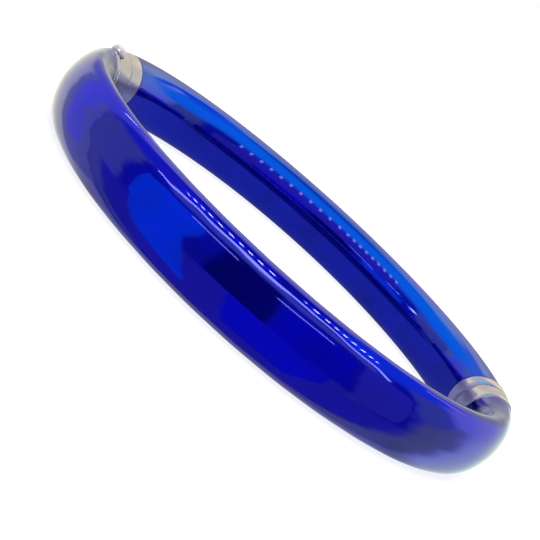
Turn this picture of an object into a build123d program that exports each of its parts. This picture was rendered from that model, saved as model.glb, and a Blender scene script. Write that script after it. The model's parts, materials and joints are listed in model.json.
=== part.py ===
from build123d import *
import math
import os

# Hinged oval bangle: two hollow silver half tubes under a glassy blue enamel skin.
# X runs along the long axis from the clasp (-X) to the hinge (+X), the front half is at -Y,
# the back half at +Y, and Z is the wrist axis. The origin is the middle of the wrist
# opening, on the surface that the bangle lies on. Millimetres.

# Driving dimensions of the oval tube
outer_length = 68.0
outer_width = 56.5
band_height = 8.56
outer_crown = 2.0
inner_crown = 2.8
enamel_thickness = 0.5
wall_thickness = 0.4
hinge_collar_proud = 0.15
plate_thickness = 0.55
joint_gap = 0.1
end_overrun = 15.0
far_past = 20.0
tube_reach = 9.0

# Both joint faces are mitred: their normal leans from +Y towards +X by this angle
mitre_angle = 31.0

# Clasp
clasp_y = 0.9
rim_width = 1.15
catch_collar_end = 3.85
clasp_collar_end = 6.55
mouth_clearance = 0.15
catch_plate_y = 2.25
tongue_nose_y = 5.6
tongue_x_outer = -32.0
tongue_x_inner = -30.8
tongue_root_y = -4.0
tongue_bottom = -2.0
blade_top = 0.9
nose_length = 0.5
nose_height = 0.8
spring_thickness = 0.3
spring_rise = 4.05
fold_length = 0.3
catch_height = 0.4
catch_length = 0.25
catch_play = 0.05
tab_reach = 0.15

# Thumb ball
ball_radius = 0.92
ball_x = -31.8
ball_y = 1.2
ball_height = 4.15
ball_side_travel = 0.31
ball_exit_travel = 4.0
stem_radius = 0.28
stem_seat = 0.4
notch_clearance = 0.07
notch_floor = 0.25

# Hinge
pin_x = 33.0
pin_radius = 0.4
pin_clearance = 0.03
pin_seat_clearance = 0.01
knuckle_radius = 1.05
knuckle_clearance = 0.05
middle_knuckle_length = 2.7
opening_angle = 50.0
hinge_y = 1.85
back_collar_width = 1.75
front_collar_width = 2.8
relief_reach = 8.0
relief_front_margin = 6.0
relief_back_margin = 2.0

# Derived sizes
path_length_radius = outer_length / 2 - outer_crown
path_width_radius = outer_width / 2 - outer_crown
mid_z = band_height / 2 + hinge_collar_proud
mitre_slope = math.tan(math.radians(mitre_angle))
pin_y = hinge_y - mitre_slope * (pin_x - path_length_radius)
mitre_normal = Vector(math.sin(math.radians(mitre_angle)), math.cos(math.radians(mitre_angle)))
clear_height = 3 * band_height
spring_top = tongue_bottom + spring_rise
catch_top = spring_top + catch_height

clasp_joint = Plane(origin=(-path_length_radius, clasp_y, mid_z), x_dir=mitre_normal)
hinge_joint = Plane(origin=(pin_x, pin_y, mid_z), x_dir=mitre_normal)
clasp_square = Plane(origin=(-path_length_radius, 0, mid_z), x_dir=(0, 1, 0))


def tube_form(path, growth):
    """Solid tube along a path of the oval, its section grown by `growth` all round."""
    start = Plane(origin=path @ 0, x_dir=(path % 0).cross(Vector(0, 0, 1)), z_dir=path % 0)
    half_height = band_height / 2 + growth
    with BuildPart() as form:
        with BuildSketch(start):
            with BuildLine():
                EllipticalCenterArc((0, 0), outer_crown + growth, half_height, -90, arc_size=180)
                EllipticalCenterArc((0, 0), inner_crown + growth, half_height, 90, arc_size=180)
            make_face()
        sweep(path=path)
    return form.part


def slab(joint, near, far):
    """Block across the tube, from `near` to `far` along the X direction of a joint plane."""
    with BuildPart() as block:
        with BuildSketch(joint):
            with Locations(((near + far) / 2, 0)):
                Rectangle(far - near, 2 * tube_reach)
        extrude(amount=clear_height / 2, both=True)
    return block.part


def hinge_barrel(radius, middle_length, outside):
    """Cylinders round the pin: the outer stretches if `outside`, else the middle one."""
    with BuildPart() as barrel:
        if outside:
            for side in (1, -1):
                with BuildSketch(Plane.XY.offset(mid_z + side * middle_length / 2)):
                    with Locations((pin_x, pin_y)):
                        Circle(radius)
                extrude(amount=side * clear_height / 2)
        else:
            with BuildSketch(Plane.XY.offset(mid_z)):
                with Locations((pin_x, pin_y)):
                    Circle(radius)
            extrude(amount=middle_length / 2, both=True)
    return barrel.part


def thumb_notch(travel):
    """Vertical notch that the thumb ball sinks into, open to -Y over a travel of the ball."""
    with BuildPart() as notch:
        with BuildSketch(Plane.XY.offset(mid_z + blade_top + notch_floor)):
            with Locations((ball_x, ball_y - travel / 2)):
                SlotCenterToCenter(travel, 2 * (ball_radius + notch_clearance), rotation=90)
        extrude(amount=band_height)
    return notch.part


# Paths run a little past both joints; the joints trim the tubes
with BuildLine(Plane.XY.offset(mid_z)) as front_path:
    EllipticalCenterArc((0, 0), path_length_radius, path_width_radius, 180 - end_overrun,
                        arc_size=180 + 2 * end_overrun)

with BuildLine(Plane.XY.offset(mid_z)) as back_path:
    EllipticalCenterArc((0, 0), path_length_radius, path_width_radius, -end_overrun,
                        arc_size=180 + 2 * end_overrun)

front_proud = tube_form(front_path.line, hinge_collar_proud)
front_skin = tube_form(front_path.line, 0)
front_bore = tube_form(front_path.line, -enamel_thickness)
front_hollow = tube_form(front_path.line, -enamel_thickness - wall_thickness)
back_proud = tube_form(back_path.line, hinge_collar_proud)
back_skin = tube_form(back_path.line, 0)
back_bore = tube_form(back_path.line, -enamel_thickness)
back_hollow = tube_form(back_path.line, -enamel_thickness - wall_thickness)

# Relief outside the pin, so that the outer edges of the halves meet only at full opening
with BuildPart() as back_relief:
    with BuildSketch(Plane.XY.offset(mid_z)):
        with BuildLine():
            relief_start = PolarLine((pin_x, pin_y), relief_reach, -mitre_angle - relief_front_margin)
            relief_end = PolarLine((pin_x, pin_y), relief_reach,
                                   opening_angle - mitre_angle + relief_back_margin)
            Line(relief_start @ 1, relief_end @ 1)
        make_face()
    extrude(amount=clear_height / 2, both=True)

# What each half leaves free at its ends
split_length = middle_knuckle_length + 2 * knuckle_clearance
with BuildPart() as front_trim:
    add(slab(clasp_joint, -joint_gap / 2, far_past))
    add(slab(hinge_joint, -joint_gap / 2, far_past))
    add(hinge_barrel(knuckle_radius + knuckle_clearance, middle_knuckle_length, True))
    add(hinge_barrel(knuckle_radius, middle_knuckle_length, False))
    add(thumb_notch(ball_side_travel))

with BuildPart() as back_trim:
    add(slab(clasp_joint, -far_past, joint_gap / 2))
    add(slab(hinge_joint, -far_past, joint_gap / 2))
    add(hinge_barrel(knuckle_radius, split_length, True))
    add(hinge_barrel(knuckle_radius + knuckle_clearance, split_length, False))
    add(back_relief.part)
    add(thumb_notch(ball_exit_travel))

# Front half
with BuildPart() as front_core:
    add(front_bore)
    add(front_hollow, mode=Mode.SUBTRACT)
    add(front_trim.part, mode=Mode.SUBTRACT)

with BuildPart() as front_enamel:
    add(front_skin)
    add(front_bore, mode=Mode.SUBTRACT)
    add(slab(clasp_joint, -rim_width, far_past), mode=Mode.SUBTRACT)
    add(slab(hinge_joint, -front_collar_width, far_past), mode=Mode.SUBTRACT)

with BuildPart() as front_clasp_rim:
    add(front_skin)
    add(front_bore, mode=Mode.SUBTRACT)
    add(slab(clasp_joint, -rim_width, -joint_gap / 2), mode=Mode.INTERSECT)
    add(front_trim.part, mode=Mode.SUBTRACT)

with BuildPart() as front_clasp_plate:
    add(front_hollow)
    add(slab(clasp_joint, -joint_gap / 2 - plate_thickness, -joint_gap / 2), mode=Mode.INTERSECT)
    add(front_trim.part, mode=Mode.SUBTRACT)

with BuildPart() as front_hinge_collar:
    add(front_proud)
    add(front_bore, mode=Mode.SUBTRACT)
    add(slab(hinge_joint, -front_collar_width, -joint_gap / 2), mode=Mode.INTERSECT)
    add(front_trim.part, mode=Mode.SUBTRACT)

with BuildPart() as front_hinge_plate:
    add(front_hollow)
    add(slab(hinge_joint, -joint_gap / 2 - plate_thickness, -joint_gap / 2), mode=Mode.INTERSECT)
    add(front_trim.part, mode=Mode.SUBTRACT)

with BuildPart() as front_knuckle:
    add(hinge_barrel(knuckle_radius, middle_knuckle_length, False))
    add(hinge_barrel(pin_radius + pin_clearance, middle_knuckle_length, False), mode=Mode.SUBTRACT)
    add(front_proud, mode=Mode.INTERSECT)

# Back half
with BuildPart() as back_core:
    add(back_bore)
    add(back_hollow, mode=Mode.SUBTRACT)
    add(back_trim.part, mode=Mode.SUBTRACT)

with BuildPart() as back_enamel:
    add(back_skin)
    add(back_bore, mode=Mode.SUBTRACT)
    add(slab(clasp_square, -far_past, clasp_collar_end), mode=Mode.SUBTRACT)
    add(slab(hinge_joint, -far_past, back_collar_width), mode=Mode.SUBTRACT)

with BuildPart() as catch_collar:
    add(back_skin)
    add(back_bore, mode=Mode.SUBTRACT)
    add(slab(clasp_square, -tube_reach, catch_collar_end), mode=Mode.INTERSECT)
    add(back_trim.part, mode=Mode.SUBTRACT)

with BuildPart() as back_clasp_collar:
    add(back_skin)
    add(back_bore, mode=Mode.SUBTRACT)
    add(slab(clasp_square, catch_collar_end, clasp_collar_end), mode=Mode.INTERSECT)

with BuildPart() as catch_plate:
    add(back_hollow)
    add(slab(clasp_square, catch_plate_y, catch_plate_y + plate_thickness), mode=Mode.INTERSECT)
    with BuildSketch(Plane.XY.offset(mid_z + tongue_bottom - mouth_clearance)):
        with Locations(((tongue_x_outer + tongue_x_inner) / 2, catch_plate_y)):
            Rectangle(tongue_x_inner - tongue_x_outer + 2 * mouth_clearance, 4 * plate_thickness)
    extrude(amount=spring_rise + catch_play + mouth_clearance, mode=Mode.SUBTRACT)

with BuildPart() as back_hinge_collar:
    add(back_proud)
    add(back_bore, mode=Mode.SUBTRACT)
    add(slab(hinge_joint, joint_gap / 2, back_collar_width), mode=Mode.INTERSECT)
    add(back_trim.part, mode=Mode.SUBTRACT)

with BuildPart() as back_hinge_plate:
    add(back_hollow)
    add(slab(hinge_joint, joint_gap / 2, joint_gap / 2 + plate_thickness), mode=Mode.INTERSECT)
    add(back_trim.part, mode=Mode.SUBTRACT)

with BuildPart() as back_knuckles:
    add(hinge_barrel(knuckle_radius, split_length, True))
    add(hinge_barrel(pin_radius + pin_seat_clearance, split_length, True), mode=Mode.SUBTRACT)
    add(back_proud, mode=Mode.INTERSECT)

with BuildPart() as hinge_pin:
    add(hinge_barrel(pin_radius, clear_height, False))
    add(back_proud, mode=Mode.INTERSECT)

# Tongue of the front half, and its folded spring with the thumb ball
tongue_width = tongue_x_inner - tongue_x_outer
with BuildPart() as tongue_blade:
    with BuildSketch(Plane.YZ.offset(tongue_x_outer)):
        with BuildLine():
            Polyline((tongue_root_y, mid_z + tongue_bottom),
                     (tongue_nose_y - nose_length, mid_z + tongue_bottom),
                     (tongue_nose_y, mid_z + tongue_bottom + nose_height),
                     (tongue_nose_y, mid_z + blade_top),
                     (tongue_root_y, mid_z + blade_top), close=True)
        make_face()
    extrude(amount=tongue_width)
    add(slab(clasp_joint, -joint_gap / 2, far_past), mode=Mode.INTERSECT)

shoulder_y = catch_plate_y + plate_thickness + catch_play
tab_y = clasp_y - tab_reach
with BuildPart() as tongue_spring:
    with BuildSketch(Plane.YZ.offset(tongue_x_outer)):
        with BuildLine():
            Polyline((tongue_nose_y, mid_z + blade_top),
                     (tongue_nose_y, mid_z + blade_top + spring_thickness),
                     (shoulder_y + catch_length, mid_z + catch_top), (shoulder_y, mid_z + catch_top),
                     (shoulder_y, mid_z + spring_top), (tab_y, mid_z + spring_top),
                     (tab_y, mid_z + spring_top - spring_thickness),
                     (shoulder_y, mid_z + spring_top - spring_thickness),
                     (tongue_nose_y - fold_length, mid_z + blade_top), close=True)
        make_face()
    extrude(amount=tongue_width)

ball_z = mid_z + ball_height
stem_top = ball_z - ball_radius + stem_seat
with BuildPart() as thumb_stem:
    with BuildSketch(Plane.XY.offset(mid_z + spring_top)):
        with Locations((ball_x, ball_y)):
            Circle(stem_radius)
    extrude(amount=stem_top - mid_z - spring_top)

with BuildPart() as thumb_ball:
    with Locations((ball_x, ball_y, ball_z)):
        Sphere(ball_radius)
    with BuildSketch(Plane.XY.offset(stem_top)):
        with Locations((ball_x, ball_y)):
            Circle(stem_radius)
    extrude(amount=-ball_radius, mode=Mode.SUBTRACT)

pieces = {
    "front_core": front_core, "front_enamel": front_enamel, "front_clasp_rim": front_clasp_rim,
    "front_clasp_plate": front_clasp_plate, "front_hinge_collar": front_hinge_collar,
    "front_hinge_plate": front_hinge_plate, "front_knuckle": front_knuckle,
    "back_core": back_core, "back_enamel": back_enamel, "catch_collar": catch_collar,
    "back_clasp_collar": back_clasp_collar, "catch_plate": catch_plate,
    "back_hinge_collar": back_hinge_collar, "back_hinge_plate": back_hinge_plate,
    "back_knuckles": back_knuckles, "hinge_pin": hinge_pin, "tongue_blade": tongue_blade,
    "tongue_spring": tongue_spring, "thumb_stem": thumb_stem, "thumb_ball": thumb_ball,
}

os.makedirs("parts", exist_ok=True)
for name, piece in pieces.items():
    piece.part.label = name
    export_step(piece.part, f"parts/{name}.step")
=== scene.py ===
import json
import math

import bmesh
import bpy
import numpy as np
from mathutils import Matrix, Vector


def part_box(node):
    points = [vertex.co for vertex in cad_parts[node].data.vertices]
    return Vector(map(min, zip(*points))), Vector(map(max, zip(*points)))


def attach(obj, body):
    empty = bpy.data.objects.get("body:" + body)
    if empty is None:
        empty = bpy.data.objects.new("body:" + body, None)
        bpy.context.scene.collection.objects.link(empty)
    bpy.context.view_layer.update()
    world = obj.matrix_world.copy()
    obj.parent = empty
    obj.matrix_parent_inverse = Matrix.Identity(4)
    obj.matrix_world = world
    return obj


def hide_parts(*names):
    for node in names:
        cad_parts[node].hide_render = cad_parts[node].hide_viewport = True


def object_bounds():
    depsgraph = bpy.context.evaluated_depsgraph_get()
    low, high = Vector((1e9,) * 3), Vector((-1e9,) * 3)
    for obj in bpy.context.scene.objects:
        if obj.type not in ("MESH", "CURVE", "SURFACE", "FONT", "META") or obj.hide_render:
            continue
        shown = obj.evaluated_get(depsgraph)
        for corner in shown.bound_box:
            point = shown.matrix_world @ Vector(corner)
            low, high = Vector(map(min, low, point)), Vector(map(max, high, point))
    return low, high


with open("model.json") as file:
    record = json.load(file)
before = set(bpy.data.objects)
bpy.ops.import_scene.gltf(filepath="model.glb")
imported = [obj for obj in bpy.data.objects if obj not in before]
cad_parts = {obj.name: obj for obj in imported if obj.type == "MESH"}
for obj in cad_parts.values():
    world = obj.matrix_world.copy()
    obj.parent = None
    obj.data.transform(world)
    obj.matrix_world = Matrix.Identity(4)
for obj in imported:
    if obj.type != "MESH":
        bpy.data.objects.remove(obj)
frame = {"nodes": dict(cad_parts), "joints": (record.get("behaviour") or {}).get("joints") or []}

CAD_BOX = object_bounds()
MM = 0.001

# Sizes of the tube, in metres. The oval and its height come from the frame.
OUTER_CROWN = 2.0 * MM
INNER_CROWN = 2.8 * MM
ENAMEL = 0.5 * MM
FRONT_LOW, FRONT_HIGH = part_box("front_enamel")
HALF_HEIGHT = (FRONT_HIGH.z - FRONT_LOW.z) / 2
MID_Z = (FRONT_HIGH.z + FRONT_LOW.z) / 2
PATH_X = -FRONT_LOW.x - OUTER_CROWN
PATH_Y = -FRONT_LOW.y - OUTER_CROWN
COLLAR_PROUD = FRONT_LOW.z - CAD_BOX[0][2]
RIDGE = 0.1 * MM
GAP = 0.05 * MM
SEAM = 0.03 * MM
LIP = 0.12 * MM
FRONT_HINGE_LIP = 0.45 * MM
BACK_HINGE_LIP = 0.5 * MM

# Joint faces: a point, and the direction across the joint towards the back half
MITRE = math.radians(31.0)
MITRE_NORMAL = (math.sin(MITRE), math.cos(MITRE))
BANGLE_HINGE = [j for j in frame["joints"] if j["name"] == "bangle_hinge"][0]
HINGE_PIN = BANGLE_HINGE["pos_m"]
OPENING = math.radians(BANGLE_HINGE["range_deg"][1])
RELIEF_REACH = 8.0 * MM
RELIEF_FRONT = math.radians(6.0)
RELIEF_BACK = math.radians(2.0)
CLASP_Y = 0.9 * MM
CLASP = ((-PATH_X, CLASP_Y), MITRE_NORMAL)
CLASP_SQUARE = ((-PATH_X, 0.0), (0.0, 1.0))
HINGE = (tuple(HINGE_PIN[:2]), MITRE_NORMAL)
RIM_WIDTH = 1.15 * MM
CATCH_END = 3.85 * MM
CLASP_COLLAR_END = 6.55 * MM
BACK_COLLAR = 1.75 * MM
FRONT_COLLAR = 2.8 * MM

# Angle along the oval where each joint lies, from +X towards +Y
CLASP_TURN = math.pi
HINGE_TURN_FRONT = 2 * math.pi
HINGE_TURN_BACK = 0.0

# Fineness of the meshes: points round the tube, rings along the enamel and a lip, steps round turned
# pieces and cutters, the angle above which an edge stays sharp, and how far and how often the
# turn of a cut is searched for. The enamel's ripple grows over the first and last 1 / CALM of it.
SECTIONS = 224
ENAMEL_RINGS = 240
LIP_RINGS = 7
TURNED_STEPS = 48
CUTTER_STEPS = 96
SHARP_EDGE = math.radians(35)
SEARCH_SPAN = 0.45
SEARCH_STEPS = 50
CALM = 12

# Notch for the ball, knuckles of the hinge, and the ball's solder fillet
NOTCH_CLEAR = 0.07 * MM
NOTCH_FLOOR = MID_Z + 1.15 * MM
RIM_SLOT = 0.31 * MM
COLLAR_SLOT = 4 * MM
KNUCKLE_RADIUS = 1.05 * MM
KNUCKLE_HALF = 1.35 * MM
KNUCKLE_CLEAR = 0.05 * MM
TOP = MID_Z + 2 * HALF_HEIGHT
FLOOR = MID_Z - 2 * HALF_HEIGHT
FILLET_HEIGHT = 0.2 * MM
FILLET_STEP = 0.08 * MM
BALL_STEPS = 32


# ---------------------------------------------------------------- geometry of the tube
def tube_point(turn, section, growth, ridge=0.0):
    """Points on the tube: turn goes along the oval, section round the tube from its outside."""
    cosine, sine = np.cos(section), np.sin(section)
    crown = np.where(cosine > 0, OUTER_CROWN, INNER_CROWN) + growth
    out = crown * cosine - ridge * np.abs(sine) * np.clip(cosine, 0, 1)
    across = np.stack([PATH_Y * np.cos(turn), PATH_X * np.sin(turn)], -1)
    across /= np.linalg.norm(across, axis=-1, keepdims=True)
    x = PATH_X * np.cos(turn) + across[..., 0] * out
    y = PATH_Y * np.sin(turn) + across[..., 1] * out
    z = MID_Z + (HALF_HEIGHT + growth) * sine
    return np.stack([x, y, z], -1)


def turn_at(cut, distance, section, growth, near):
    """The turn, for each section angle, where the tube's surface meets a plane beside a cut."""
    point, normal = cut
    low = np.full_like(section, near - SEARCH_SPAN)
    high = np.full_like(section, near + SEARCH_SPAN)

    def side(turn):
        p = tube_point(turn, section, growth)
        return (p[..., 0] - point[0]) * normal[0] + (p[..., 1] - point[1]) * normal[1] - distance

    rising = side(high) > side(low)
    for _ in range(SEARCH_STEPS):
        middle = (low + high) / 2
        above = (side(middle) > 0) == rising
        high = np.where(above, middle, high)
        low = np.where(above, low, middle)
    return (low + high) / 2


def new_object(name, mesh):
    obj = bpy.data.objects.new(name, mesh)
    bpy.context.scene.collection.objects.link(obj)
    return obj


def smooth(mesh):
    mesh.shade_smooth()
    mesh.set_sharp_from_angle(angle=SHARP_EDGE)


def mesh_from_rings(name, rings):
    """Quads between successive rings of points, and from the last ring back to the first."""
    count, size = len(rings), len(rings[0])
    points = np.concatenate(rings)
    faces = []
    for i in range(count):
        a, b = i * size, ((i + 1) % count) * size
        for k in range(size):
            n = (k + 1) % size
            faces.append((a + k, b + k, b + n, a + n))
    mesh = bpy.data.meshes.new(name)
    mesh.from_pydata(points.tolist(), [], faces)
    work = bmesh.new()
    work.from_mesh(mesh)
    bmesh.ops.recalc_face_normals(work, faces=work.faces)
    work.to_mesh(mesh)
    work.free()
    return mesh


def sleeve(name, start, end, outer, inner, lip, stations, ridge=0.0, ripple=None):
    """A closed sleeve round the tube between two cuts, with rounded lips.
    start and end are (cut, distance, near turn, sign into the sleeve)."""
    section = np.linspace(0, 2 * math.pi, SECTIONS, endpoint=False)
    rings = []

    def lip_rings(spec, quarter):
        cut, distance, near, sign = spec
        made = []
        for share in quarter:
            angle = share * math.pi / 2
            along = lip * (1 - math.cos(angle))
            growth = outer - lip * (1 - math.sin(angle))
            turn = turn_at(cut, distance + sign * along, section, growth, near)
            made.append(tube_point(turn, section, growth, ridge))
        return made

    quarter = np.linspace(0, 1, LIP_RINGS)
    starts = lip_rings(start, quarter)
    ends = lip_rings(end, quarter[::-1])
    first = turn_at(start[0], start[1] + start[3] * lip, section, outer, start[2])
    last = turn_at(end[0], end[1] + end[3] * lip, section, outer, end[2])
    outside = []
    for share in np.linspace(0, 1, stations + 2)[1:-1]:
        turn = first + (last - first) * share
        growth = np.full_like(section, outer)
        if ripple is not None:
            growth = growth + ripple(turn, section) * min(1.0, CALM * share, CALM * (1 - share))
        outside.append(tube_point(turn, section, growth, ridge))
    first_in = turn_at(start[0], start[1], section, inner, start[2])
    last_in = turn_at(end[0], end[1], section, inner, end[2])
    inside = []
    for share in np.linspace(0, 1, max(4, stations // 3)):
        inside.append(tube_point(last_in + (first_in - last_in) * share, section, inner))
    rings = starts + outside + ends + inside
    mesh = mesh_from_rings(name, rings)
    smooth(mesh)
    return new_object(name, mesh)


def revolve(name, profile, origin):
    """A closed solid turned about Z from (radius, height) points, the first and last on the axis."""
    mesh = bpy.data.meshes.new(name)
    work = bmesh.new()
    verts = [work.verts.new((r, 0, z)) for r, z in profile]
    for a, b in zip(verts, verts[1:]):
        work.edges.new((a, b))
    bmesh.ops.spin(work, geom=work.verts[:] + work.edges[:], cent=(0, 0, 0), axis=(0, 0, 1),
                   angle=2 * math.pi, steps=TURNED_STEPS)
    bmesh.ops.remove_doubles(work, verts=work.verts, dist=1e-7)
    bmesh.ops.recalc_face_normals(work, faces=work.faces)
    work.transform(Matrix.Translation(origin))
    work.to_mesh(mesh)
    work.free()
    smooth(mesh)
    return new_object(name, mesh)


def prism_tool(outline, low, high):
    """A cutter: an upright prism on an outline that runs anticlockwise."""
    mesh = bpy.data.meshes.new("cutter")
    work = bmesh.new()
    bottom = [work.verts.new((x, y, low)) for x, y in outline]
    top = [work.verts.new((x, y, high)) for x, y in outline]
    work.faces.new(bottom[::-1])
    work.faces.new(top)
    for k in range(len(outline)):
        n = (k + 1) % len(outline)
        work.faces.new((bottom[k], bottom[n], top[n], top[k]))
    work.to_mesh(mesh)
    work.free()
    return new_object("cutter", mesh)


def cylinder_tool(centre, radius, low, high, reach_y=0.0):
    """A cutter: an upright cylinder, or a slot when it reaches along -Y."""
    outline = []
    for k in range(CUTTER_STEPS):
        angle = 2 * math.pi * (k + 0.5) / CUTTER_STEPS
        x = centre[0] + radius * math.cos(angle)
        y = centre[1] + radius * math.sin(angle) - (reach_y if math.sin(angle) < 0 else 0.0)
        outline.append((x, y))
    return prism_tool(outline, low, high)


def relief_tool(low, high):
    """The wedge outside the pin that the front half's outer edge swings into."""
    corners = [(HINGE_PIN[0], HINGE_PIN[1])]
    for angle in (-MITRE - RELIEF_FRONT, OPENING - MITRE + RELIEF_BACK):
        corners.append((HINGE_PIN[0] + RELIEF_REACH * math.cos(angle),
                        HINGE_PIN[1] + RELIEF_REACH * math.sin(angle)))
    return prism_tool(corners, low, high)


def carve(obj, cutters):
    """Cuts the tools out of obj, and removes the tools."""
    for cutter in cutters:
        cut = obj.modifiers.new("cut", "BOOLEAN")
        cut.object = cutter
        cut.operation = "DIFFERENCE"
        cut.solver = "EXACT"
    graph = bpy.context.evaluated_depsgraph_get()
    graph.update()
    mesh = bpy.data.meshes.new_from_object(obj.evaluated_get(graph))
    obj.modifiers.clear()
    obj.data = mesh
    for cutter in cutters:
        bpy.data.objects.remove(cutter)
    smooth(mesh)


# ---------------------------------------------------------------- materials
def shader(name):
    material = bpy.data.materials.new(name)
    material.use_nodes = True
    nodes = material.node_tree.nodes
    links = material.node_tree.links
    return material, nodes, links, nodes["Principled BSDF"]


def glow_material(name, glow, strength):
    """A black surface that only gives off its own even glow."""
    material, _, _, surface = shader(name)
    surface.inputs["Base Color"].default_value = (0, 0, 0, 1)
    surface.inputs["Roughness"].default_value = 1.0
    surface.inputs["Emission Color"].default_value = (*glow, 1)
    surface.inputs["Emission Strength"].default_value = strength
    return material


def noise(nodes, links, scale, detail, stretch=(1, 1, 1)):
    place = nodes.new("ShaderNodeTexCoord")
    mapping = nodes.new("ShaderNodeMapping")
    mapping.inputs["Scale"].default_value = stretch
    texture = nodes.new("ShaderNodeTexNoise")
    texture.inputs["Scale"].default_value = scale
    texture.inputs["Detail"].default_value = detail
    links.new(place.outputs["Object"], mapping.inputs["Vector"])
    links.new(mapping.outputs["Vector"], texture.inputs["Vector"])
    return texture


def ramp(nodes, links, value, stops):
    node = nodes.new("ShaderNodeValToRGB")
    while len(node.color_ramp.elements) < len(stops):
        node.color_ramp.elements.new(0.5)
    for element, (place, colour) in zip(node.color_ramp.elements, stops):
        element.position = place
        element.color = (*colour, 1)
    links.new(value, node.inputs["Fac"])
    return node


def bump(nodes, links, height, strength, distance):
    node = nodes.new("ShaderNodeBump")
    node.inputs["Strength"].default_value = strength
    node.inputs["Distance"].default_value = distance
    links.new(height, node.inputs["Height"])
    return node


def enamel_material(name, deep_green, painted_highlight_green, edge):
    """Cobalt glass over silver: darker where it pooled, with a painted highlight in azure towards the top
    of the tube.
    """
    material, nodes, links, surface = shader(name)
    cloud = noise(nodes, links, 170, 5)
    deep = ramp(nodes, links, cloud.outputs["Fac"],
                [(0.38, (0.0005, deep_green / 2, 0.47)), (0.48, (0.001, deep_green, 0.56)),
                 (0.62, (0.001, deep_green, 0.62))])
    place = nodes.new("ShaderNodeTexCoord")
    split = nodes.new("ShaderNodeSeparateXYZ")
    links.new(place.outputs["Object"], split.inputs[0])
    # Painted highlight: a band high on the tube, just under its top, is mixed towards azure
    painted_highlight_band = nodes.new("ShaderNodeMath")
    painted_highlight_band.operation = "MULTIPLY"
    for slot, (start, end) in zip(painted_highlight_band.inputs, ((0.2, 0.7), (0.99, 0.87))):
        height = nodes.new("ShaderNodeMapRange")
        height.interpolation_type = "SMOOTHSTEP"
        height.inputs["From Min"].default_value = MID_Z + start * HALF_HEIGHT
        height.inputs["From Max"].default_value = MID_Z + end * HALF_HEIGHT
        links.new(split.outputs["Z"], height.inputs["Value"])
        links.new(height.outputs["Result"], slot)
    painted_highlight_mix = nodes.new("ShaderNodeMix")
    painted_highlight_mix.data_type = "RGBA"
    links.new(painted_highlight_band.outputs[0], painted_highlight_mix.inputs["Factor"])
    links.new(deep.outputs["Color"], painted_highlight_mix.inputs[6])
    painted_highlight_mix.inputs[7].default_value = (0.0015, painted_highlight_green, 0.60, 1)
    links.new(painted_highlight_mix.outputs[2], surface.inputs["Base Color"])
    surface.inputs["Metallic"].default_value = 1.0
    surface.inputs["Specular Tint"].default_value = (*edge, 1)
    grain = noise(nodes, links, 900, 2)
    rough = ramp(nodes, links, grain.outputs["Fac"],
                 [(0.3, (0.08, 0.08, 0.08)), (0.7, (0.14, 0.14, 0.14))])
    links.new(rough.outputs["Color"], surface.inputs["Roughness"])
    surface.inputs["Coat Weight"].default_value = 1.0
    surface.inputs["Coat Roughness"].default_value = 0.015
    surface.inputs["Coat IOR"].default_value = 1.7
    return material


def silver_material(name, colour, rough_low, rough_high, grain_scale, metal):
    material, nodes, links, surface = shader(name)
    cloud = noise(nodes, links, 250, 4)
    tint = ramp(nodes, links, cloud.outputs["Fac"],
                [(0.3, tuple(c * 0.9 for c in colour)), (0.7, colour)])
    links.new(tint.outputs["Color"], surface.inputs["Base Color"])
    surface.inputs["Metallic"].default_value = metal
    grain = noise(nodes, links, grain_scale, 3, (1, 1, 6))
    rough = ramp(nodes, links, grain.outputs["Fac"],
                 [(0.3, (rough_low,) * 3), (0.7, (rough_high,) * 3)])
    links.new(rough.outputs["Color"], surface.inputs["Roughness"])
    scratch = bump(nodes, links, grain.outputs["Fac"], 0.02, 0.002 * MM)
    links.new(scratch.outputs["Normal"], surface.inputs["Normal"])
    return material


def dress(obj, material):
    obj.data.materials.clear()
    obj.data.materials.append(material)


# ---------------------------------------------------------------- pieces
FACE_WAVE = 0.035
EDGE_WAVE = 0.006
INSIDE_SHARE = 0.35
BACK_SHARE = 0.2


def ripple(turn, section):
    """Slow waves that fired enamel keeps along its length, flatter on the inside. The heights
    are in millimetres, and the waves are counted in radians along the oval."""
    face = np.cos(section) ** 2 * np.where(np.cos(section) > 0, 1.0, INSIDE_SHARE)
    edge = np.sin(section) ** 2
    wave = np.sin(11.0 * turn + 0.7) + 0.5 * np.sin(19.0 * turn + 2.1 * np.sin(section))
    fine = np.sin(37.0 * turn + 3.0 * np.sin(section))
    return (FACE_WAVE * face * wave + EDGE_WAVE * edge * fine) * MM


def slight_ripple(turn, section):
    """The back half is smoother than the front."""
    return BACK_SHARE * ripple(turn, section)


# Both halves are one enamel; the back half's copy paints a far stronger azure highlight near its top
FRONT_BLUE = enamel_material("front_blue_enamel", 0.004, 0.008, (0.3, 0.36, 0.57))
BACK_BLUE = enamel_material("back_blue_enamel", 0.018, 0.11, (0.62, 0.58, 0.46))
SILVER = silver_material("polished_silver", (0.70, 0.65, 0.58), 0.17, 0.24, 700, 0.85)
BALL_SILVER = silver_material("ball_silver", (0.78, 0.71, 0.54), 0.2, 0.26, 900, 0.3)
INNER_SILVER = silver_material("inner_silver", (0.62, 0.60, 0.56), 0.3, 0.45, 500, 0.8)

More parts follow.
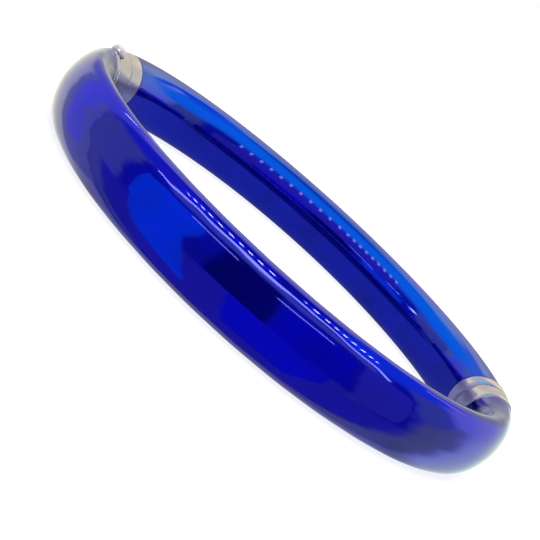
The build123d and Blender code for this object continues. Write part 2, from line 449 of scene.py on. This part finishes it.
front_enamel = sleeve("front_enamel_skin", (CLASP, -RIM_WIDTH, CLASP_TURN, -1),
                      (HINGE, -FRONT_COLLAR, HINGE_TURN_FRONT, -1), 0.0, -ENAMEL, LIP,
                      ENAMEL_RINGS, RIDGE, ripple)
back_enamel = sleeve("back_enamel_skin", (HINGE, BACK_COLLAR, HINGE_TURN_BACK, 1),
                     (CLASP_SQUARE, CLASP_COLLAR_END, CLASP_TURN, 1), 0.0, -ENAMEL, LIP,
                     ENAMEL_RINGS, RIDGE, slight_ripple)
clasp_rim = sleeve("front_clasp_rim_rolled", (CLASP, -GAP, CLASP_TURN, -1),
                   (CLASP, -RIM_WIDTH, CLASP_TURN, 1), 0.0, -ENAMEL, LIP, 10)
front_collar = sleeve("front_hinge_collar_rolled", (HINGE, -FRONT_COLLAR, HINGE_TURN_FRONT, 1),
                      (HINGE, -GAP, HINGE_TURN_FRONT, -1), COLLAR_PROUD, -ENAMEL,
                      FRONT_HINGE_LIP, 24)
back_collar = sleeve("back_hinge_collar_rolled", (HINGE, GAP, HINGE_TURN_BACK, 1),
                     (HINGE, BACK_COLLAR, HINGE_TURN_BACK, -1), COLLAR_PROUD, -ENAMEL,
                     BACK_HINGE_LIP, 20)
catch_collar = sleeve("catch_collar_rolled", (CLASP_SQUARE, CATCH_END - SEAM, CLASP_TURN, -1),
                      (CLASP, GAP, CLASP_TURN, 1), 0.0, -ENAMEL, LIP, 24)
clasp_collar = sleeve("back_clasp_collar_rolled", (CLASP_SQUARE, CLASP_COLLAR_END, CLASP_TURN, -1),
                      (CLASP_SQUARE, CATCH_END + SEAM, CLASP_TURN, 1), 0.0, -ENAMEL, LIP, 20)

# Notch for the ball, and scoops for the other half's knuckles
BALL_LOW, BALL_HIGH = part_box("thumb_ball")
BALL = Vector(((BALL_LOW.x + BALL_HIGH.x) / 2, (BALL_LOW.y + BALL_HIGH.y) / 2, 0))
BALL_RADIUS = (BALL_HIGH.x - BALL_LOW.x) / 2
BALL.z = BALL_HIGH.z - BALL_RADIUS
NOTCH_RADIUS = BALL_RADIUS + NOTCH_CLEAR
carve(clasp_rim, [cylinder_tool(BALL, NOTCH_RADIUS, NOTCH_FLOOR, TOP, RIM_SLOT)])
carve(catch_collar, [cylinder_tool(BALL, NOTCH_RADIUS, NOTCH_FLOOR, TOP, COLLAR_SLOT)])
carve(front_collar, [
    cylinder_tool(HINGE_PIN, KNUCKLE_RADIUS + KNUCKLE_CLEAR, MID_Z + KNUCKLE_HALF, TOP),
    cylinder_tool(HINGE_PIN, KNUCKLE_RADIUS + KNUCKLE_CLEAR, FLOOR, MID_Z - KNUCKLE_HALF),
    cylinder_tool(HINGE_PIN, KNUCKLE_RADIUS, MID_Z - KNUCKLE_HALF, MID_Z + KNUCKLE_HALF)])
carve(back_collar, [
    cylinder_tool(HINGE_PIN, KNUCKLE_RADIUS, MID_Z + KNUCKLE_HALF + KNUCKLE_CLEAR, TOP),
    cylinder_tool(HINGE_PIN, KNUCKLE_RADIUS, FLOOR, MID_Z - KNUCKLE_HALF - KNUCKLE_CLEAR),
    cylinder_tool(HINGE_PIN, KNUCKLE_RADIUS + KNUCKLE_CLEAR,
                  MID_Z - KNUCKLE_HALF - KNUCKLE_CLEAR, MID_Z + KNUCKLE_HALF + KNUCKLE_CLEAR),
    relief_tool(FLOOR, TOP)])

# Ball on its post, with the little fillet where it is soldered
STEM_LOW, STEM_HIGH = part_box("thumb_stem")
STEM_RADIUS = (STEM_HIGH.x - STEM_LOW.x) / 2
ball_profile = [(0, STEM_LOW.z - BALL.z), (STEM_RADIUS, STEM_LOW.z - BALL.z)]
JOIN = -math.pi / 2 + math.asin(1.35 * STEM_RADIUS / BALL_RADIUS)
ball_profile.append((STEM_RADIUS, BALL_RADIUS * math.sin(JOIN) - FILLET_HEIGHT))
ball_profile.append((1.1 * STEM_RADIUS, BALL_RADIUS * math.sin(JOIN) - FILLET_STEP))
for step in range(BALL_STEPS + 1):
    angle = JOIN + (math.pi / 2 - JOIN) * step / BALL_STEPS
    ball_profile.append((BALL_RADIUS * math.cos(angle) if step < BALL_STEPS else 0,
                         BALL_RADIUS * math.sin(angle)))
ball = revolve("thumb_ball_on_post", ball_profile, BALL)

PIECES = [
    (front_enamel, "front_half", FRONT_BLUE, "blue_enamel", ["front_enamel"]),
    (back_enamel, "back_half", BACK_BLUE, "blue_enamel", ["back_enamel"]),
    (clasp_rim, "front_half", SILVER, "polished_silver", ["front_clasp_rim"]),
    (front_collar, "front_half", SILVER, "polished_silver", ["front_hinge_collar"]),
    (back_collar, "back_half", SILVER, "polished_silver", ["back_hinge_collar"]),
    (catch_collar, "back_half", SILVER, "polished_silver", ["catch_collar"]),
    (clasp_collar, "back_half", SILVER, "polished_silver", ["back_clasp_collar"]),
    (ball, "thumb_release", BALL_SILVER, "polished_silver", ["thumb_ball", "thumb_stem"]),
]
for piece, body, material, slot, nodes in PIECES:
    dress(piece, material)
    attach(piece, body)
    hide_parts(*nodes)

for name, node in frame["nodes"].items():
    if node.hide_render:
        continue
    polished = name in ("front_knuckle", "back_knuckles", "hinge_pin")
    node.data.materials.clear()
    node.data.materials.append(SILVER if polished else INNER_SILVER)


# ---------------------------------------------------------------- stage, light and camera
def area_light(name, place, target, size, power):
    light = bpy.data.lights.new(name, "AREA")
    light.shape = "RECTANGLE"
    light.size, light.size_y = size
    light.energy = power
    obj = bpy.data.objects.new(name, light)
    obj.location = place
    direction = Vector(target) - Vector(place)
    obj.rotation_euler = direction.to_track_quat("-Z", "Y").to_euler()
    bpy.context.scene.collection.objects.link(obj)
    obj.visible_camera = False
    return obj


EDGE = 3.0
floor_mesh = bpy.data.meshes.new("floor")
floor_mesh.from_pydata([(-EDGE, -EDGE, 0), (EDGE, -EDGE, 0), (EDGE, EDGE, 0), (-EDGE, EDGE, 0)],
                       [], [(0, 1, 2, 3)])
floor = new_object("floor", floor_mesh)
floor_material, _, _, floor_surface = shader("floor_paper")
floor_surface.inputs["Base Color"].default_value = (0.3, 0.3, 0.3, 1)
floor_surface.inputs["Roughness"].default_value = 0.9
floor_surface.inputs["Emission Color"].default_value = (1, 1, 1, 1)
floor_surface.inputs["Emission Strength"].default_value = 0.86
floor_mesh.materials.append(floor_material)
floor.visible_glossy = False

# Soft zones of the studio round the object, as the enamel mirrors them: azimuth and elevation
# in degrees (azimuth 0 is in front, positive towards the hinge), soft edge, and brightness.
# A later zone lies over an earlier one, and noise moves their edges by up to half of ZONE_WANDER.
BACKDROP = (0.66, 0.63, 0.55)
ZONE_WANDER = 14
ZONES = [
    ((100, 260), (32, 75), 16, (1.25, 1.15, 0.85)),
    ((182, 262), (6, 32), 12, (0.66, 0.62, 0.55)),
    ((-102, 102), (-95, 95), 22, (0.03, 0.04, 0.46)),
    ((190, 262), (-55, 12), 14, (1.15, 1.12, 0.85)),
    ((100, 166), (-46, 6), 24, (0.98, 1.12, 0.90)),
    ((92, 134), (0, 48), 20, (0.74, 0.74, 0.92)),
    ((-152, -96), (14, 52), 14, (0.42, 0.42, 0.88)),
    ((-125, -92), (-45, 20), 4, (0.52, 0.52, 0.60)),
    ((-118, -100), (-28, 22), 3, (0.42, 0.42, 0.95)),
    ((-92, -64), (-62, 48), 5, (0.34, 0.35, 0.46)),
    ((-80, 80), (-95, -20), 8, (0.11, 0.09, 0.52)),
    ((75, 100), (-80, 4), 12, (0.44, 0.48, 0.37)),
    ((70, 90), (2, 36), 8, (0.28, 0.35, 0.46)),
    ((40, 135), (33, 66), 12, (0.06, 0.24, 0.98)),
    ((-95, -35), (28, 68), 12, (0.10, 0.10, 0.72)),
    ((160, 200), (-45, 4), 12, (0.45, 0.44, 0.40)),
    ((108, 121), (31, 47), 3, (1.15, 0.80, 1.08)),
]


def studio_world():
    """The zones light the object and show in its reflections. The camera itself sees plain white."""
    world = bpy.data.worlds.new("studio")
    world.use_nodes = True
    nodes, links = world.node_tree.nodes, world.node_tree.links
    background = nodes["Background"]

    def math_node(operation, *values):
        node = nodes.new("ShaderNodeMath")
        node.operation = operation
        for slot, value in zip(node.inputs, values):
            if isinstance(value, (int, float)):
                slot.default_value = value
            else:
                links.new(value, slot)
        return node.outputs[0]

    coordinates = nodes.new("ShaderNodeTexCoord")
    split = nodes.new("ShaderNodeSeparateXYZ")
    links.new(coordinates.outputs["Generated"], split.inputs[0])
    uneven = nodes.new("ShaderNodeTexNoise")
    uneven.inputs["Scale"].default_value = 4.0
    uneven.inputs["Detail"].default_value = 3.0
    links.new(coordinates.outputs["Generated"], uneven.inputs["Vector"])
    wander = math_node("MULTIPLY", math_node("SUBTRACT", uneven.outputs["Fac"], 0.5), ZONE_WANDER)
    azimuth = math_node("ARCTAN2", split.outputs["X"], math_node("MULTIPLY", split.outputs["Y"], -1))
    azimuth = math_node("ADD", math_node("DEGREES", azimuth), wander)
    elevation = math_node("DEGREES", math_node("ARCSINE", split.outputs["Z"]))
    elevation = math_node("ADD", elevation, wander)

    def window(value, low, high, soft):
        """1 between low and high, fading to 0 over the soft edge."""
        edges = []
        for start, end in ((low - soft / 2, low + soft / 2), (high + soft / 2, high - soft / 2)):
            fade = nodes.new("ShaderNodeMapRange")
            fade.interpolation_type = "SMOOTHSTEP"
            fade.inputs["From Min"].default_value = start
            fade.inputs["From Max"].default_value = end
            links.new(value, fade.inputs["Value"])
            edges.append(fade.outputs["Result"])
        return math_node("MULTIPLY", *edges)

    behind = math_node("FLOORED_MODULO", azimuth, 360)
    colour = None
    for (west, east), (low, high), soft, tint in ZONES:
        turn = behind if east > 180 else azimuth
        mask = math_node("MULTIPLY", window(turn, west, east, soft), window(elevation, low, high, soft))
        mix = nodes.new("ShaderNodeMix")
        mix.data_type = "RGBA"
        links.new(mask, mix.inputs["Factor"])
        if colour is None:
            mix.inputs[6].default_value = (*BACKDROP, 1)
        else:
            links.new(colour, mix.inputs[6])
        mix.inputs[7].default_value = (*tint, 1)
        colour = mix.outputs[2]
    rays = nodes.new("ShaderNodeLightPath")
    shown = nodes.new("ShaderNodeMix")
    shown.data_type = "RGBA"
    links.new(rays.outputs["Is Camera Ray"], shown.inputs["Factor"])
    links.new(colour, shown.inputs[6])
    shown.inputs[7].default_value = (1, 1, 1, 1)
    links.new(shown.outputs[2], background.inputs["Color"])
    bpy.context.scene.world = world


# Shares of the pitch at which a row's lamps begin and are fully lit
LAMP_DARK, LAMP_LIT = 0.22, 0.34


def card(name, across, upward, glow, place, tilt=0.0, soft=6.0, wander=0.0, pitch=0.0):
    """A card seen only in reflections: it spans across (X) and upward from its place, leans towards
    the front by its tilt in degrees, and fades over a soft edge that noise moves about. With a
    pitch it is a row of small lamps. Sizes are in millimetres."""
    reach = soft + wander
    x0, x1 = ((across[0] - reach) * MM, (across[1] + reach) * MM)
    z0, z1 = ((upward[0] - reach) * MM, (upward[1] + reach) * MM)
    mesh = bpy.data.meshes.new(name)
    mesh.from_pydata([(x0, 0, z0), (x1, 0, z0), (x1, 0, z1), (x0, 0, z1)], [], [(0, 1, 2, 3)])
    obj = new_object(name, mesh)
    obj.location = place
    obj.rotation_euler.x = math.radians(tilt)
    material = bpy.data.materials.new(name)
    material.use_nodes = True
    nodes, links = material.node_tree.nodes, material.node_tree.links
    nodes.clear()
    where = nodes.new("ShaderNodeTexCoord")
    split = nodes.new("ShaderNodeSeparateXYZ")
    links.new(where.outputs["Object"], split.inputs[0])
    uneven = nodes.new("ShaderNodeTexNoise")
    uneven.inputs["Scale"].default_value = 22.0
    uneven.inputs["Detail"].default_value = 2.0
    links.new(where.outputs["Object"], uneven.inputs["Vector"])
    sway = nodes.new("ShaderNodeMapRange")
    sway.inputs["To Min"].default_value = -wander * MM
    sway.inputs["To Max"].default_value = wander * MM
    links.new(uneven.outputs["Fac"], sway.inputs["Value"])
    covers = []

    def cover(value, low, high):
        fade = nodes.new("ShaderNodeMapRange")
        fade.interpolation_type = "SMOOTHSTEP"
        fade.inputs["From Min"].default_value = low
        fade.inputs["From Max"].default_value = high
        links.new(value, fade.inputs["Value"])
        covers.append(fade.outputs["Result"])

    for axis, sides in (("X", across), ("Z", upward)):
        moved = nodes.new("ShaderNodeMath")
        links.new(split.outputs[axis], moved.inputs[0])
        links.new(sway.outputs["Result"], moved.inputs[1])
        for side, sign in zip(sides, (1, -1)):
            cover(moved.outputs[0], (side - sign * soft / 2) * MM, (side + sign * soft / 2) * MM)
    if pitch:
        fold = nodes.new("ShaderNodeMath")
        fold.operation = "PINGPONG"
        fold.inputs[1].default_value = pitch / 2 * MM
        links.new(split.outputs["X"], fold.inputs[0])
        cover(fold.outputs[0], LAMP_DARK * pitch * MM, LAMP_LIT * pitch * MM)
    covered = covers[0]
    for other in covers[1:]:
        both = nodes.new("ShaderNodeMath")
        both.operation = "MULTIPLY"
        links.new(covered, both.inputs[0])
        links.new(other, both.inputs[1])
        covered = both.outputs[0]
    emission = nodes.new("ShaderNodeEmission")
    emission.inputs["Color"].default_value = (*glow, 1)
    clear = nodes.new("ShaderNodeBsdfTransparent")
    mix = nodes.new("ShaderNodeMixShader")
    links.new(covered, mix.inputs["Fac"])
    links.new(clear.outputs[0], mix.inputs[1])
    links.new(emission.outputs[0], mix.inputs[2])
    out = nodes.new("ShaderNodeOutputMaterial")
    links.new(mix.outputs[0], out.inputs["Surface"])
    mesh.materials.append(material)
    only_in_reflections(obj)


def only_in_reflections(obj):
    """Hides a stage piece from everything but mirror rays."""
    for kind in ("camera", "diffuse", "transmission", "shadow", "volume_scatter"):
        setattr(obj, "visible_" + kind, False)


def shaded_floor():
    """The floor inside the band as its inner faces mirror it: dim, and blue from the enamel."""
    mesh = bpy.data.meshes.new("shaded_floor")
    corners = 64
    turns = np.linspace(0, 2 * math.pi, corners, endpoint=False)
    outline = [(PATH_X * math.cos(t), PATH_Y * math.sin(t), 0.1 * MM) for t in turns]
    mesh.from_pydata(outline, [], [tuple(range(corners))])
    mesh.materials.append(glow_material("shaded_floor", (0.23, 0.31, 1.0), 0.5))
    only_in_reflections(new_object("shaded_floor", mesh))


# Small lamps close over the inside of the back half: each run has its first and last angle along
# the oval and its number of lamps. The row leans back and climbs towards the hinge.
LAMP_RUNS = ((2.06, 1.42, 11), (1.365, 1.03, 9))
ROW_INSET_X = 5.0 * MM
ROW_INSET_Y = 4.3 * MM
ROW_Z = MID_Z + 4.0 * MM
ROW_CLIMB = 0.045
ROW_LEAN = math.radians(51.5)


def near_row(name, width, height, shift, depth, glow):
    """Lamps along the row, shifted up along their own faces and away from the band by their
    depth. With no width they are joined in one strip. Sizes are in millimetres."""
    rise = Vector((0, math.cos(ROW_LEAN), math.sin(ROW_LEAN)))
    away = Vector((0, -math.sin(ROW_LEAN), math.cos(ROW_LEAN)))
    sides = (-width / 2, width / 2) if width else (0,)
    points = []
    for first, last, count in LAMP_RUNS:
        for turn in np.linspace(first, last, count):
            x = (PATH_X - ROW_INSET_X) * math.cos(turn)
            y = (PATH_Y - ROW_INSET_Y) * math.sin(turn)
            centre = Vector((x, y, ROW_Z + ROW_CLIMB * x)) + (rise * shift + away * depth) * MM
            for side in sides:
                for lift in (-height / 2, height / 2):
                    points.append(centre + (Vector((side, 0, 0)) + rise * lift) * MM)
    step = 2 * len(sides)
    faces = [(k, k + 1, k + 3, k + 2) for k in range(0, len(points) - 3, step)]
    mesh = bpy.data.meshes.new(name)
    mesh.from_pydata(points, [], faces)
    mesh.materials.append(glow_material(name, glow, 1.0))
    only_in_reflections(new_object(name, mesh))


# Places of the cards: the wall in front of the object with its layers, the boards above the front
# half, the lid over the band, and how far the ball's light stands before and above it
WALL = 100 * MM
LAYER = 0.5 * MM
WAVE_PLACE = (0, -56 * MM, 41 * MM)
FRONT_LAMP_PLACE = (0, -42 * MM, 43 * MM)
LID_PLACE = (0, 0, 20 * MM)
FLOOR_SHADE_PLACE = (0, 0, 0.2 * MM)
BALL_LIGHT_AWAY = 13 * MM
BALL_LIGHT_PLACE = (BALL.x, BALL.y - BALL_LIGHT_AWAY, BALL.z + BALL_LIGHT_AWAY)


def wall(layer):
    return 0, -WALL - layer * LAYER, 0


studio_world()
shaded_floor()
card("bright_patch", (-135, -52), (-130, 48), (0.02, 0.25, 0.95), wall(4), soft=5, wander=16)
card("low_patch", (-12, 62), (-140, -22), (0.03, 0.03, 0.72), wall(4), soft=5, wander=10)
card("mid_patch", (14, 76), (-20, 44), (0.02, 0.02, 0.60), wall(3), soft=8, wander=8)
card("dim_patch", (84, 200), (-50, 70), (0.14, 0.13, 0.53), wall(4), soft=8, wander=10)
card("dark_flag", (-34, 12), (-20, 66), (0.01, 0.01, 0.18), wall(2), soft=5, wander=3)
card("light_panel", (-100, 100), (58, 80), (0.40, 0.42, 0.60), wall(1), soft=12, wander=10)
card("light_line", (-62, -24), (41, 44), (2.2, 2.2, 1.5), wall(0), soft=2, wander=3)
card("light_line", (8, 48), (38, 41), (2.2, 2.2, 1.5), wall(0), soft=2, wander=3)
card("wave_line", (-70, 70), (-1.5, 1.5), (4.5, 4.5, 2.6), WAVE_PLACE, tilt=-45, soft=3, wander=14)
near_row("back_lamps", 0.44, 0.84, -0.15, 0.0, (2.0, 1.15, 1.2))
near_row("back_line", 0.0, 2.4, -1.35, 0.2, (0.17, 0.07, 0.60))
for across in ((-36, 0), (10, 40)):
    card("front_lamps", across, (-1.5, 1.5), (12, 12, 11), FRONT_LAMP_PLACE, tilt=-65, soft=1.5, pitch=3.8)
card("overhead", (-11, 16), (-22, -7), (0.03, 0.56, 1.15), LID_PLACE, tilt=90, soft=9)
card("ball_light", (-2.5, 2.5), (-2.5, 2.5), (6, 6, 5.5), BALL_LIGHT_PLACE, tilt=-45, soft=2)
card("floor_shade", (-22, 22), (-7, 22), (0.01, 0.02, 0.20), FLOOR_SHADE_PLACE, tilt=90, soft=8)

SOFTBOX_PLACE = (-0.05, -0.1, 0.6)
SOFTBOX_SIZE = (0.5, 0.5)
SOFTBOX_POWER = 5
softbox = area_light("softbox", SOFTBOX_PLACE, (0, 0, 0), SOFTBOX_SIZE, SOFTBOX_POWER)
softbox.visible_glossy = False

# The camera looks down on the band's front edge, and is rolled so that the bangle lies aslant
AZIMUTH, ELEVATION, ROLL = (math.radians(a) for a in (-3.95, 13.10, -42.50))
DISTANCE = 104.8 * MM
SENSOR_WIDTH = 36
LENS = 56.86
SHIFT_X, SHIFT_Y = -0.0393, -0.0309
back = Vector((math.sin(AZIMUTH) * math.cos(ELEVATION), -math.cos(AZIMUTH) * math.cos(ELEVATION),
               math.sin(ELEVATION)))
right = Vector((math.cos(AZIMUTH), math.sin(AZIMUTH), 0))
up = back.cross(right)
camera_right = right * math.cos(ROLL) - up * math.sin(ROLL)
camera_up = right * math.sin(ROLL) + up * math.cos(ROLL)
camera_data = bpy.data.cameras.new("camera")
camera_data.sensor_width = SENSOR_WIDTH
camera_data.lens = LENS
camera_data.shift_x = SHIFT_X
camera_data.shift_y = SHIFT_Y
camera_data.clip_start = 0.005
camera = bpy.data.objects.new("camera", camera_data)
bpy.context.scene.collection.objects.link(camera)
target = Vector((0, 0, MID_Z))
place = target + back * DISTANCE
camera.matrix_world = Matrix((
    (camera_right.x, camera_up.x, back.x, place.x),
    (camera_right.y, camera_up.y, back.y, place.y),
    (camera_right.z, camera_up.z, back.z, place.z),
    (0, 0, 0, 1)))
bpy.context.scene.camera = camera
bpy.context.scene.view_settings.view_transform = "Standard"
